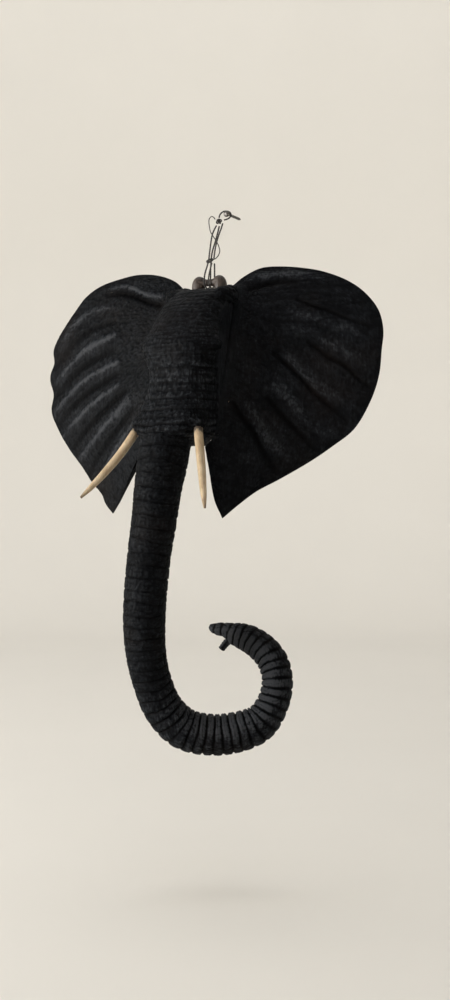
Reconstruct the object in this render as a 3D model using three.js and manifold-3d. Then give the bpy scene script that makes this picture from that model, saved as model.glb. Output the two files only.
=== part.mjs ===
// Carved wooden elephant head for a wall: ebonised head, trunk and ears, bone tusks,
// a plain wooden lug, a thin black cord and the nail it hangs on.
// Millimetres. +X is the viewer's right, +Y runs into the wall, +Z is up.
// The origin is where the nail's axis meets the wall, so everything carved has Y < 0.
import * as THREE from "three";
import { mergeVertices } from "three/addons/utils/BufferGeometryUtils.js";
import Module from "manifold-3d";

const wasm = await Module();
wasm.setup();
const { Manifold, Mesh: SolidMesh } = wasm;

// ---------- driving dimensions ----------
const GAP = 0.3; // clearance left between touching pieces
const SEAT = 40; // half width of the head between its two sawn ear seats
const BACK = 6; // distance of the sawn back from the wall
const CORD = 2; // diameter of the hanging cord
const THREAD = 1.3; // diameter of the loose whipping thread
const EAR_ROOT_THICKNESS = 15;
const EAR_EDGE_THICKNESS = 4;
const TUSK_RADIUS = 5.6;
const SPIGOT = 20; // length of tusk hidden in its socket
const RINGS = 48; // carved rings from the head joint to the trunk's tip
const RING_DEPTH = 1.2;

// A point at x, at distance d off the wall, at height z.
const at = (x, d, z) => new THREE.Vector3(x, -d, z);

// ---------- colours and finishes ----------
const EBONISED = { color: 0x1d2024, roughness: 0.55, metalness: 0 };
const BONE = { color: 0xd8bd8c, roughness: 0.45, metalness: 0 };
const BARE_WOOD = { color: 0x5a4338, roughness: 0.6, metalness: 0 };
const BEECH = { color: 0xb08a5c, roughness: 0.7, metalness: 0 };
const BLACK_CORD = { color: 0x14120f, roughness: 0.9, metalness: 0 };
const STEEL = { color: 0x3a3a3c, roughness: 0.4, metalness: 0.8 };

const elephant = new THREE.Group();
elephant.name = "elephant_head";

function add(name, geometry, finish) {
  const mesh = new THREE.Mesh(geometry, new THREE.MeshStandardMaterial(finish));
  mesh.name = name;
  elephant.add(mesh);
}

// ---------- solids ----------
function solidOf(geometry) {
  const bare = new THREE.BufferGeometry();
  bare.setAttribute("position", geometry.getAttribute("position"));
  if (geometry.index) bare.setIndex(geometry.index);
  const merged = mergeVertices(bare, 1e-4);
  const solid = new Manifold(
    new SolidMesh({
      numProp: 3,
      vertProperties: new Float32Array(merged.attributes.position.array),
      triVerts: new Uint32Array(merged.index.array),
    }),
  );
  return solid;
}

function geometryOf(solid) {
  const mesh = solid.getMesh();
  const geometry = new THREE.BufferGeometry();
  geometry.setAttribute("position", new THREE.BufferAttribute(mesh.vertProperties, 3));
  geometry.setIndex(new THREE.BufferAttribute(mesh.triVerts, 1));
  geometry.computeVertexNormals();
  return geometry;
}

// A closed geometry from points and triangles, turned to face outwards.
function closedGeometry(points, triangles) {
  let sixVolumes = 0;
  for (const [a, b, c] of triangles) {
    sixVolumes += points[a].dot(points[b].clone().cross(points[c]));
  }
  const faces = sixVolumes < 0 ? triangles.map(([a, b, c]) => [a, c, b]) : triangles;
  const geometry = new THREE.BufferGeometry().setFromPoints(points);
  geometry.setIndex(faces.flat());
  geometry.computeVertexNormals();
  return geometry;
}

// A closed skin over a stack of rings that all have the same number of points.
function skin(rings) {
  const sides = rings[0].length;
  const points = rings.flat();
  const triangles = [];
  for (let i = 0; i + 1 < rings.length; i++) {
    for (let j = 0; j < sides; j++) {
      const a = i * sides + j;
      const b = i * sides + ((j + 1) % sides);
      triangles.push([a, b, b + sides], [a, b + sides, a + sides]);
    }
  }
  for (const [ring, flip] of [[0, true], [rings.length - 1, false]]) {
    const centre = points.length;
    const sum = rings[ring].reduce((total, p) => total.add(p), new THREE.Vector3());
    points.push(sum.divideScalar(sides));
    for (let j = 0; j < sides; j++) {
      const a = ring * sides + j;
      const b = ring * sides + ((j + 1) % sides);
      triangles.push(flip ? [centre, b, a] : [centre, a, b]);
    }
  }
  return closedGeometry(points, triangles);
}

// A round skin along a smooth line whose stations are [x, d, z, radius].
// radiusAt can change the radius, given the share of the length run so far.
function roundAlong(stations, steps, sides, radiusAt = (radius) => radius) {
  const curve = new THREE.CatmullRomCurve3(stations.map(([x, d, z]) => at(x, d, z)));
  const radii = new THREE.CatmullRomCurve3(
    stations.map(([, , , radius]) => new THREE.Vector3(radius, 0, 0)),
  );
  const frames = curve.computeFrenetFrames(steps, false);
  const rings = [];
  for (let i = 0; i <= steps; i++) {
    const t = curve.getUtoTmapping(i / steps);
    const radius = radiusAt(radii.getPoint(t).x, i / steps);
    const centre = curve.getPoint(t);
    rings.push(ringAbout(centre, frames.normals[i], frames.binormals[i], radius, sides));
  }
  return skin(rings);
}

function ringAbout(centre, u, v, radius, sides) {
  return Array.from({ length: sides }, (_, j) => {
    const angle = (2 * Math.PI * j) / sides;
    return centre
      .clone()
      .addScaledVector(u, radius * Math.cos(angle))
      .addScaledVector(v, radius * Math.sin(angle));
  });
}

// A cylinder from one point to another.
function rod(from, to, radius, sides = 16) {
  const axis = to.clone().sub(from);
  const geometry = new THREE.CylinderGeometry(radius, radius, axis.length(), sides);
  const up = new THREE.Vector3(0, 1, 0);
  geometry.applyQuaternion(new THREE.Quaternion().setFromUnitVectors(up, axis.normalize()));
  return geometry.translate(...from.clone().add(to).multiplyScalar(0.5).toArray());
}

const along = (point, direction, distance) => point.clone().addScaledVector(direction, distance);

// ---------- trunk line ----------
// Stations down the trunk, [x, d, z, radius]: the joint under the face comes first.
const TRUNK_LINE = [
  [-11, 150, -286, 30.7],
  [-11, 157, -310, 30.2],
  [-13, 165, -344, 28.3],
  [-15, 170, -379, 27],
  [-19, 175, -422, 25.9],
  [-23, 177, -472, 25.5],
  [-26, 173, -509, 24.9],
  [-27, 166, -539, 23.9],
  [-25, 158, -564, 23.3],
  [-17, 146, -597, 23.5],
  [2, 131, -622, 24.1],
  [32, 113, -630, 23.9],
  [63, 97, -625, 23.1],
  [80, 88, -616, 21.5],
  [90, 80, -600, 19.5],
  [95, 74, -581, 18.5],
  [94, 70, -562, 18.3],
  [86, 67, -544, 18.3],
  [72, 66, -530, 17.7],
  [56, 66, -521, 16.7],
  [40, 67, -516, 14.6],
  [26, 69, -511.5, 9.6],
  [12, 71, -509.8, 7.2],
  [5.6, 72, -507.6, 3.6],
];
// The lower of the two fingers at the trunk's tip.
const LOWER_FINGER = [
  [37, 68, -516, 6],
  [31, 69, -522.5, 4.8],
  [26, 69.5, -527.5, 4.4],
  [20.4, 70, -534.4, 3.9],
];
const JOINT = at(...TRUNK_LINE[0]);
const JOINT_AXIS = at(...TRUNK_LINE[1]).sub(JOINT).normalize();
const DOWEL_RADIUS = 7;
const DOWEL_REACH = 32;

function trunk() {
  const [, , , rootRadius] = TRUNK_LINE[0];
  const groove = (radius, share) =>
    radius - RING_DEPTH * (radius / rootRadius) * Math.cos(Math.PI * RINGS * share) ** 2;
  const limb = solidOf(roundAlong(TRUNK_LINE, 4 * RINGS, 16, groove));
  const finger = solidOf(roundAlong(LOWER_FINGER, 8, 12));
  const bore = solidOf(
    rod(along(JOINT, JOINT_AXIS, -1), along(JOINT, JOINT_AXIS, DOWEL_REACH + GAP), DOWEL_RADIUS + GAP),
  );
  return geometryOf(limb.add(finger).subtract(bore));
}

// ---------- tusks ----------
// Where each tusk leaves its lip, and the way it points.
const TUSKS = {
  left: { mouth: at(-46, 155, -273), tip: at(-92, 205, -353), bow: at(1, -2.3, -2) },
  right: { mouth: at(34, 155, -273), tip: at(69, 205, -364), bow: at(-1, -2.3, -2) },
};
const LIP_RADIUS = 9.5;
const LIP_DEPTH = 17;

const betweenEnds = ({ mouth, tip, bow }, share) => mouth.clone().lerp(tip, share).add(bow);

// The way the spigot points: the tusk's own way where it leaves its lip.
const tuskWay = (tusk) => betweenEnds(tusk, 0.3).sub(tusk.mouth).normalize();

// A straight spigot, then a gentle bow and a slow taper to a blunt point.
function tusk(side) {
  const way = tuskWay(side);
  const stations = [
    [along(side.mouth, way, -SPIGOT), 1],
    [along(side.mouth, way, -SPIGOT / 2), 1],
    [side.mouth, 1],
    [betweenEnds(side, 0.3), 0.95],
    [betweenEnds(side, 0.62), 0.82],
    [side.mouth.clone().lerp(side.tip, 0.85).addScaledVector(side.bow, 0.5), 0.62],
    [side.tip, 0.27],
  ].map(([p, share]) => [p.x, -p.y, p.z, TUSK_RADIUS * share]);
  return roundAlong(stations, 22, 12);
}

// ---------- head ----------
// Level sections from the jaw up to the crown:
// z, half width of the sawn sides, half width of the face, its depth, front, back, sideways shift.
const HEAD_LEVELS = [
  [-292, 18, 18, 110, 130, 92, -5],
  [-284, 29, 31, 144, 172, 104, -9],
  [-277, 38, 42, 148, 176, 86, -9],
  [-268, SEAT, 46, 145, 173, 46, -7],
  [-256, SEAT, 45, 141, 168, 18, -5],
  [-241, SEAT, 42, 137, 163, BACK, -3],
  [-224, SEAT, 39, 134, 159, BACK, -1],
  [-206, SEAT, 40.5, 132, 159, BACK, 0],
  [-192, SEAT, 45, 134, 162, BACK, 0],
  [-179, SEAT, 49, 134, 163, BACK, 0],
  [-168, SEAT, 47.5, 129, 160, BACK, 0],
  [-154, SEAT, 44, 119, 152, BACK, 0],
  [-138, SEAT, 41, 107, 141, BACK, 0],
  [-125, SEAT, SEAT, 96, 128, BACK, 0],
  [-115, 39, 39, 86, 115, BACK, 0],
  [-108, 37, 37, 78, 104, 10, 0],
  [-104, 33, 33, 70, 94, 22, 0],
  [-102, 25, 25, 64, 80, 40, 0],
];
const SEAT_FRONT = 124; // the sawn sides run this far off the wall

function headSection([z, side, face, widest, front, back, shift]) {
  const seatEnd = Math.min(SEAT_FRONT, widest - 6);
  const bevel = Math.min(5, (seatEnd - back) / 3);
  const half = [
    [side * 0.5, back],
    [side - 4, back],
    [side, back + bevel],
    [side, (back + seatEnd) / 2],
    [side, seatEnd],
  ].map(([x, d]) => [x, d, 0]);
  const arc = 7;
  for (let i = 0; i <= arc; i++) {
    const angle = (Math.PI / 2) * (i / arc);
    const x = face * Math.cos(angle) ** 0.8;
    const d = widest + (front - widest) * Math.sin(angle);
    half.push([x, d, 1]);
  }
  const right = half.map(([x, d, shifted]) => at(x + shift * shifted, d, z));
  const left = half.slice(0, -1).map(([x, d, shifted]) => at(shift * shifted - x, d, z));
  return [...right, ...left.reverse()];
}

const LUG_LEG = 14.5; // half the distance between the lug's two tenons
const LUG_DEPTH = 62; // distance of the lug from the wall
const CROWN = HEAD_LEVELS.at(-1)[0];
const TENON_RADIUS = 4;
const TENON_LENGTH = 18;

// Two dowels pin each ear: [d, z] of each, and how far it reaches into head and ear.
const EAR_DOWELS = { upper: [74, -146], lower: [101, -241] };
const EAR_DOWEL_RADIUS = 3;
const EAR_DOWEL_IN_HEAD = 18;
const EAR_DOWEL_IN_EAR = 7;

function earDowel(sign, [d, z], clearance) {
  const inner = sign * (SEAT - EAR_DOWEL_IN_HEAD - clearance);
  const outer = sign * (SEAT + GAP + EAR_DOWEL_IN_EAR + clearance);
  return rod(at(inner, d, z), at(outer, d, z), EAR_DOWEL_RADIUS + clearance, 12);
}

function tenon(sign, clearance) {
  const foot = at(sign * LUG_LEG, LUG_DEPTH, CROWN - TENON_LENGTH - clearance);
  const top = at(sign * LUG_LEG, LUG_DEPTH, CROWN + 3);
  return solidOf(rod(foot, top, TENON_RADIUS + clearance, 16));
}

function head() {
  let wood = solidOf(skin(HEAD_LEVELS.map(headSection)));
  const stumpTop = along(JOINT, JOINT_AXIS, -30);
  const [, , , rootRadius] = TRUNK_LINE[0];
  wood = wood.add(solidOf(rod(stumpTop, JOINT, rootRadius, 24)));
  for (const side of Object.values(TUSKS)) {
    const way = tuskWay(side);
    const lip = rod(along(side.mouth, way, -LIP_DEPTH), along(side.mouth, way, 2), LIP_RADIUS, 14);
    wood = wood.add(solidOf(lip));
  }
  const recess = rod(along(JOINT, JOINT_AXIS, -GAP), along(JOINT, JOINT_AXIS, 30), rootRadius + 1, 32);
  const dowelHole = rod(
    along(JOINT, JOINT_AXIS, -DOWEL_REACH - GAP), along(JOINT, JOINT_AXIS, 1), DOWEL_RADIUS + GAP,
  );
  wood = wood.subtract(solidOf(recess)).subtract(solidOf(dowelHole));
  for (const side of Object.values(TUSKS)) {
    const way = tuskWay(side);
    const socket = rod(
      along(side.mouth, way, -SPIGOT - GAP), along(side.mouth, way, 12), TUSK_RADIUS + GAP, 24,
    );
    wood = wood.subtract(solidOf(socket));
  }
  for (const sign of [-1, 1]) {
    wood = wood.subtract(tenon(sign, GAP));
    for (const place of Object.values(EAR_DOWELS)) {
      wood = wood.subtract(solidOf(earDowel(sign, place, GAP)));
    }
  }
  return geometryOf(wood);
}

// ---------- ears ----------
// Each outline runs from the top of the root round the outer edge to the drooping tip,
// then back up the inner edge. Points are [x, d, z].
const EARS = {
  left: {
    sign: -1,
    outer: [
      [-36, 61, -98], [-47, 62, -88], [-69, 62, -79], [-99, 60, -75], [-129, 58, -78],
      [-160, 56, -85], [-182, 55, -97], [-198, 54, -113], [-213, 54, -131], [-226, 54, -149],
      [-232, 54, -163], [-231, 54, -179], [-237, 55, -197], [-230, 57, -220], [-231, 60, -241],
      [-217, 65, -266], [-195, 72, -292], [-172, 80, -313], [-152, 88, -333], [-132, 96, -349],
      [-123, 101, -361], [-110, 106, -372],
    ],
    inner: [[-97, 110, -356], [-84, 114, -334], [-70, 118, -310], [-57, 119, -290]],
  },
  right: {
    sign: 1,
    outer: [
      [31.5, 60, -97.5], [42, 54, -87.5], [62, 46, -77], [89, 38, -76], [113, 33, -79],
      [135, 30, -84], [164, 26, -96], [185, 24, -111], [202, 22, -133], [208, 22, -157],
      [206, 22, -180], [203, 23, -210], [194, 26, -239], [175, 30, -272], [150, 35, -292],
      [124, 42, -310], [92, 55, -330], [67, 72, -346], [52, 90, -362], [41, 108, -377],
    ],
    inner: [[33, 112, -356], [28, 116, -321], [24, 119, -294]],
  },
};
const EAR_ROOT = { top: [62, -104], bottom: [116, -279] }; // [d, z] down the seat
const EAR_COLUMNS = { outer: 36, inner: 6 };
const EAR_ROWS = [0, 0.1, 0.22, 0.38, 0.55, 0.72, 0.87, 1];
const EAR_FOLDS = 8;
const FOLD_DEPTH = 2;

function earOutline({ outer, inner }) {
  const spline = (points) => new THREE.CatmullRomCurve3(points.map((p) => at(...p)), false, "centripetal");
  const tip = outer.at(-1);
  return [
    ...spline(outer).getSpacedPoints(EAR_COLUMNS.outer),
    ...spline([tip, ...inner]).getSpacedPoints(EAR_COLUMNS.inner).slice(1),
  ];
}

// How far down the root the ray to a point of the outline starts, 0 to 1.
function rootShare(column) {
  const { outer, inner } = EAR_COLUMNS;
  if (column <= outer) return 0.86 * (column / outer) ** 1.25;
  return 0.86 + (0.14 * (column - outer)) / inner;
}

function ear(side) {
  const outline = earOutline(side);
  const rows = EAR_ROWS.length;
  const front = [];
  const rear = [];
  outline.forEach((edge, column) => {
    const share = rootShare(column);
    const [topD, topZ] = EAR_ROOT.top;
    const [bottomD, bottomZ] = EAR_ROOT.bottom;
    const d = topD + (bottomD - topD) * share;
    const root = at(side.sign * (SEAT + GAP), d, topZ + (bottomZ - topZ) * share);
    const fold = Math.sin((2 * Math.PI * EAR_FOLDS * column) / outline.length);
    EAR_ROWS.forEach((s) => {
      const middle = root.clone().lerp(edge, s);
      middle.y = root.y + (edge.y - root.y) * s ** 1.5 - FOLD_DEPTH * fold * s * (1.2 - s);
      const thickness = EAR_EDGE_THICKNESS + (EAR_ROOT_THICKNESS - EAR_EDGE_THICKNESS) * (1 - s) ** 2.2;
      front.push(middle.clone().setY(middle.y - thickness / 2));
      rear.push(middle.clone().setY(middle.y + thickness / 2));
    });
  });
  const points = [...front, ...rear];
  const behind = front.length;
  const triangles = [];
  const quad = (a, b, c, d) => triangles.push([a, b, c], [a, c, d]);
  for (let i = 0; i + 1 < outline.length; i++) {
    for (let j = 0; j + 1 < rows; j++) {
      const a = i * rows + j;
      quad(a, a + 1, a + rows + 1, a + rows);
      quad(a + behind, a + rows + behind, a + rows + 1 + behind, a + 1 + behind);
    }
  }
  const rim = [
    ...Array.from({ length: rows - 1 }, (_, j) => j),
    ...Array.from({ length: outline.length - 1 }, (_, i) => i * rows + rows - 1),
    ...Array.from({ length: rows - 1 }, (_, j) => outline.length * rows - 1 - j),
    ...Array.from({ length: outline.length - 1 }, (_, i) => (outline.length - 1 - i) * rows),
  ];
  rim.forEach((a, i) => {
    const b = rim[(i + 1) % rim.length];
    quad(a, a + behind, b + behind, b);
  });
  let wood = solidOf(closedGeometry(points, triangles));
  for (const place of Object.values(EAR_DOWELS)) {
    wood = wood.subtract(solidOf(earDowel(side.sign, place, GAP)));
  }
  return geometryOf(wood);
}

// ---------- lug ----------
const BAR_HEIGHT = -92.5; // height of the lug's bar, which the cord goes round
const BAR_RADIUS = 4.6;
const LUG_LINE = [
  [-LUG_LEG, LUG_DEPTH, CROWN - 1, 7.4],
  [-LUG_LEG - 0.5, LUG_DEPTH, CROWN + 5, 8.2],
  [-LUG_LEG + 1, LUG_DEPTH, CROWN + 10.5, 7.6],
  [-LUG_LEG + 5.5, LUG_DEPTH, BAR_HEIGHT + 0.5, 5.8],
  [-5, LUG_DEPTH, BAR_HEIGHT, BAR_RADIUS],
  [5, LUG_DEPTH, BAR_HEIGHT, BAR_RADIUS],
  [LUG_LEG - 5.5, LUG_DEPTH, BAR_HEIGHT + 0.5, 5.8],
  [LUG_LEG - 1, LUG_DEPTH, CROWN + 10.5, 7.6],
  [LUG_LEG + 0.5, LUG_DEPTH, CROWN + 5, 8.2],
  [LUG_LEG, LUG_DEPTH, CROWN - 1, 7.4],
];

function lug() {
  let wood = solidOf(roundAlong(LUG_LINE, 26, 12));
  const slab = new THREE.BoxGeometry(80, 40, 20);
  slab.translate(...at(0, LUG_DEPTH, CROWN + GAP - 10).toArray());
  wood = wood.subtract(solidOf(slab));
  for (const sign of [-1, 1]) wood = wood.add(tenon(sign, 0));
  return geometryOf(wood);
}

// ---------- cord, knots and nail ----------
// Hand-laid routes, [x, d, z].
const CORD_ROUTES = {
  // from the knot down the front of the lug's bar, under it and back up to the knot
  cord_long_loop: [
    [-11, 22.6, -15], [-12.6, 25, -20], [-13.2, 29, -26.4], [-12, 34.5, -34.8], [-10, 41, -44.8],
    [-8.3, 46.6, -55], [-7.2, 51, -63.5], [-5.9, 57.5, -72], [-4.9, 64, -80], [-4.2, 67.4, -86.5],
    [-3.8, 68.6, -92.5], [-3.4, 66.7, -97.2], [-3, 62, -99.1], [-2.6, 57.3, -97.2], [-2.4, 55.4, -92.5],
    [-2.6, 54.4, -85], [-3.3, 53, -76], [-4.3, 50.2, -67.5], [-5, 48, -62], [-6.4, 43.6, -54],
    [-7.2, 38.2, -45.6], [-7.5, 33, -38], [-7.5, 28.6, -30], [-7.5, 24.8, -22.4], [-7.2, 22.3, -16],
  ],
  // from the knot over the nail's shank and back to the knot
  cord_nail_loop: [
    [-9.6, 17.8, -4], [-10, 15.2, -0.4], [-8.6, 12.8, 2.8], [-5.6, 11.2, 4.6], [-2, 10.5, 4.2],
    [1.2, 10.4, 2.9], [3.1, 10.6, 0.2], [3, 11.6, -3], [0.6, 13.6, -5.8], [-3.2, 16.8, -7.6],
  ],
  // a shorter loop from the whipping round the same bar
  cord_short_loop: [
    [-2, 52.4, -67], [-0.9, 57.4, -73.5], [0.4, 63, -80.5], [1.6, 67.2, -86.5], [2.2, 68.6, -92.5],
    [2.6, 66.7, -97.2], [2.9, 62, -99.1], [3.1, 57.3, -97.2], [3.1, 55.4, -92.5], [2.8, 54.2, -86],
    [1.8, 52.2, -78.5], [0.4, 49.6, -72], [-0.8, 47.6, -67],
  ],
  // a single strand from the knot's side down to the whipping
  cord_side_strand: [
    [-3.6, 20, -12.6], [-3.6, 23.4, -18.6], [-3.7, 27.9, -25], [-3.8, 32.2, -32], [-3.6, 37.2, -40.4],
    [-2.6, 42.4, -48.8], [-1.4, 46.6, -55.4], [-0.6, 49.4, -60.6],
  ],
  // the loose thread: a light loop at the top, then a slack bight down to the whipping
  cord_loose_thread: [
    [-14.4, 19.5, -6.2], [-16.8, 19.4, -3.2], [-19.8, 19.2, -2.2], [-22.3, 20, -4.9],
    [-22, 21.6, -10.4], [-19.6, 24.6, -16.4], [-16.4, 29.2, -21.6], [-12.6, 33.6, -26.2],
    [-8.4, 36.6, -30.8], [-4, 39.2, -35.6], [0, 41.8, -40.4], [3.6, 44.4, -45.8], [6.2, 47, -51.6],
    [6.4, 50, -57], [3.9, 52, -61.2], [0.6, 52.6, -62.8],
  ],
};

// A tube of steady thickness along a hand-laid route.
function cordTube(route, diameter, steps) {
  const curve = new THREE.CatmullRomCurve3(route.map((p) => at(...p)));
  const section = new THREE.Shape().absarc(0, 0, diameter / 2, 0, 2 * Math.PI);
  return new THREE.ExtrudeGeometry(section, { extrudePath: curve, steps, curveSegments: 4 });
}

// The hanging knot: a lump of three tight turns.
const KNOT = at(-9.1, 19.5, -9.3);
const KNOT_SIZE = [4.2, 3.4, 3.2];

// The whipping: a ring of thread that holds the strands together.
const WHIPPING = at(-6, 49.6, -63.2);
const WHIPPING_WAY = at(-0.16, -0.57, 0.81).normalize();

function whipping() {
  const ring = new THREE.TorusGeometry(4.3, 0.8, 8, 20);
  const pole = new THREE.Vector3(0, 0, 1);
  ring.applyQuaternion(new THREE.Quaternion().setFromUnitVectors(pole, WHIPPING_WAY));
  return ring.translate(...WHIPPING.toArray());
}

const SHANK_RADIUS = 1.7;
const NAIL_HEAD_RADIUS = 4;

function nail() {
  const profile = [
    [0, 24],
    [SHANK_RADIUS, 18],
    [SHANK_RADIUS, -15],
    [NAIL_HEAD_RADIUS, -15.4],
    [NAIL_HEAD_RADIUS, -16.8],
    [NAIL_HEAD_RADIUS * 0.6, -17.8],
    [0, -18.1],
  ].map(([radius, y]) => new THREE.Vector2(radius, y));
  return new THREE.LatheGeometry(profile.reverse(), 20);
}

// ---------- assembly ----------
add("head", head(), EBONISED);
add("trunk", trunk(), EBONISED);
for (const [name, side] of Object.entries(EARS)) {
  add(`ear_${name}`, ear(side), EBONISED);
  for (const [place, spot] of Object.entries(EAR_DOWELS)) {
    add(`ear_dowel_${name}_${place}`, earDowel(side.sign, spot, 0), BEECH);
  }
}
add(
  "trunk_dowel",
  rod(along(JOINT, JOINT_AXIS, -DOWEL_REACH), along(JOINT, JOINT_AXIS, DOWEL_REACH), DOWEL_RADIUS),
  BEECH,
);
for (const [name, side] of Object.entries(TUSKS)) add(`tusk_${name}`, tusk(side), BONE);
add("hanging_lug", lug(), BARE_WOOD);
for (const [name, route] of Object.entries(CORD_ROUTES)) {
  const loose = name === "cord_loose_thread";
  add(name, cordTube(route, loose ? THREAD : CORD, 3 * route.length), BLACK_CORD);
}
add(
  "cord_knot",
  new THREE.SphereGeometry(1, 16, 10).scale(...KNOT_SIZE).translate(...KNOT.toArray()),
  BLACK_CORD,
);
add("cord_whipping", whipping(), BLACK_CORD);
add("wall_nail", nail(), STEEL);

export default elephant;
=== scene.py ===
# Visual model of a carved wooden elephant head that hangs on a wall.
# Metres. +X is the viewer's right, +Y runs into the wall, +Z is up, and the
# origin is where the nail's axis meets the wall. Lists of points are in
# millimetres as [x, distance off the wall, height], and at() turns them into metres.
import math

import bmesh
import bpy
import numpy as np
from mathutils import Euler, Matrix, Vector
from mathutils.kdtree import KDTree


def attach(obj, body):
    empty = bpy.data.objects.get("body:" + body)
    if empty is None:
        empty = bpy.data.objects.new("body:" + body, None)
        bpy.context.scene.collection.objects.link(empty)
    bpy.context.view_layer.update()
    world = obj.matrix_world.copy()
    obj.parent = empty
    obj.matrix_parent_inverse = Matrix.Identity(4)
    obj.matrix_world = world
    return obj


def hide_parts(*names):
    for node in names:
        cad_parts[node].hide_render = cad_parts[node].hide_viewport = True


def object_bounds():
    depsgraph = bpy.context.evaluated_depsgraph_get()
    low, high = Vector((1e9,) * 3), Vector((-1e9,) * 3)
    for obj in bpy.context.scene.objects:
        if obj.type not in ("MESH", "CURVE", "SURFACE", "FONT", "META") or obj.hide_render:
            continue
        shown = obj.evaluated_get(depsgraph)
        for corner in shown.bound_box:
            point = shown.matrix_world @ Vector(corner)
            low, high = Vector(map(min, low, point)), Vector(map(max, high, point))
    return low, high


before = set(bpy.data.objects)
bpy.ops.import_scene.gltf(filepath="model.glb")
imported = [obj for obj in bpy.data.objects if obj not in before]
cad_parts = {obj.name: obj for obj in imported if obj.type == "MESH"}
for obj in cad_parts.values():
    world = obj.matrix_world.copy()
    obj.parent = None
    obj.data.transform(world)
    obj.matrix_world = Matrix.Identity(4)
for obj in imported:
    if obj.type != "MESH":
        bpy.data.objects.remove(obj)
cad_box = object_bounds()
scene = bpy.context.scene
MM = 0.001


def at(x, d, z):
    return np.array((x, -d, z)) * MM


# ---------- camera ----------
CAMERA_YAW = math.radians(27)
CAMERA_PLACE = (0.75115, -1.49492, -0.35565)
CAMERA_LENS = 48.06


def make_camera():
    data = bpy.data.cameras.new("camera")
    data.lens = CAMERA_LENS
    data.sensor_width = 36
    data.clip_end = 30
    camera = bpy.data.objects.new("camera", data)
    camera.location = CAMERA_PLACE
    camera.rotation_euler = Euler((math.pi / 2, 0, CAMERA_YAW))
    scene.collection.objects.link(camera)
    scene.camera = camera


make_camera()

# ---------- lines and noise ----------


def spline(points, count):
    """count rows spaced evenly along a smooth line through points (first three columns are the place)."""
    p = np.asarray(points, float)
    ends = np.vstack([2 * p[0] - p[1], p, 2 * p[-1] - p[-2]])
    gaps = np.linalg.norm(np.diff(ends[:, :3], axis=0), axis=1) ** 0.5
    t = np.linspace(0, 1, 40, endpoint=False)[:, None]
    rows = []
    for i in range(len(p) - 1):
        p0, p1, p2, p3 = ends[i : i + 4]
        d0, d1, d2 = gaps[i : i + 3]
        m1 = ((p1 - p0) / d0 - (p2 - p0) / (d0 + d1) + (p2 - p1) / d1) * d1
        m2 = ((p2 - p1) / d1 - (p3 - p1) / (d1 + d2) + (p3 - p2) / d2) * d1
        bend = (-3 * p1 + 3 * p2 - 2 * m1 - m2) * t**2
        rows.append(p1 + m1 * t + bend + (2 * p1 - 2 * p2 + m1 + m2) * t**3)
    rows = np.vstack([*rows, p[-1:]])
    run = run_along(rows)
    even = np.linspace(0, run[-1], count)
    return np.column_stack([np.interp(even, run, column) for column in rows.T])


def run_along(line):
    """Length run from the start to each point of a line."""
    steps = np.linalg.norm(np.diff(line[:, :3], axis=0), axis=1)
    return np.concatenate([[0], np.cumsum(steps)])


def round_place(angle, run):
    """Where to read noise on a round surface, so that it meets itself all round."""
    return np.stack(np.broadcast_arrays(np.cos(angle), np.sin(angle), run), -1)


def unit(v):
    return v / np.linalg.norm(v, axis=-1, keepdims=True)


def frames_along(line, start):
    """Two directions across the line at each point, carried along it without twist."""
    tangent = unit(np.gradient(line, axis=0))
    u = np.empty_like(line)
    across = np.asarray(start, float)
    for i, way in enumerate(tangent):
        across = unit(across - (across @ way) * way)
        u[i] = across
    return u, np.cross(tangent, u)


def hashed(i, j, k, seed):
    """A fixed value from -1 to 1 for each cell of a grid."""
    parts = (i.astype(np.uint64), j.astype(np.uint64), k.astype(np.uint64))
    n = np.full(i.shape, seed * 2654435761 & 0xFFFFFFFF, np.uint64)
    for part, prime in zip(parts, (73856093, 19349663, 83492791)):
        n ^= part * np.uint64(prime)
    n &= np.uint64(0xFFFFFFFF)
    for shift, prime in ((15, 2246822519), (13, 3266489917)):
        n = ((n ^ (n >> np.uint64(shift))) * np.uint64(prime)) & np.uint64(0xFFFFFFFF)
    return (n ^ (n >> np.uint64(16))).astype(float) / 0xFFFFFFFF * 2 - 1


def noise(p, size, seed):
    """Smooth noise from -1 to 1, with features about size wide along each axis."""
    q = p / np.asarray(size, float)
    cell = np.floor(q)
    f = q - cell
    f = f * f * (3 - 2 * f)
    cell = cell.astype(np.int64)
    total = np.zeros(p.shape[:-1])
    for corner in np.ndindex(2, 2, 2):
        weight = np.prod(np.where(corner, f, 1 - f), axis=-1)
        total += weight * hashed(*np.moveaxis(cell + corner, -1, 0), seed)
    return total


def creases(p, size, seed, width=0.16):
    """Thin wandering lines, 1 on the line and 0 off it."""
    return np.clip(1 - np.abs(noise(p, size, seed)) / width, 0, 1)


def cut(distance, half_width):
    """A V cut: 1 on its line, 0 from half_width out."""
    return np.clip(1 - np.abs(distance) / half_width, 0, 1)


def bump(distance, half_width):
    """A round ridge: 1 on its line, near 0 from twice half_width out."""
    return np.exp(-((distance / half_width) ** 2))


def smoothstep(low, high, x):
    t = np.clip((x - low) / (high - low), 0, 1)
    return t * t * (3 - 2 * t)


# ---------- meshes ----------


def new_object(name, data, body, *nodes):
    piece = bpy.data.objects.new(name, data)
    scene.collection.objects.link(piece)
    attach(piece, body)
    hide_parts(*nodes)
    return piece


def mesh_of(name, points, faces):
    mesh = bpy.data.meshes.new(name)
    mesh.from_pydata(points.reshape(-1, 3).tolist(), [], faces)
    for polygon in mesh.polygons:
        polygon.use_smooth = True
    return mesh


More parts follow.
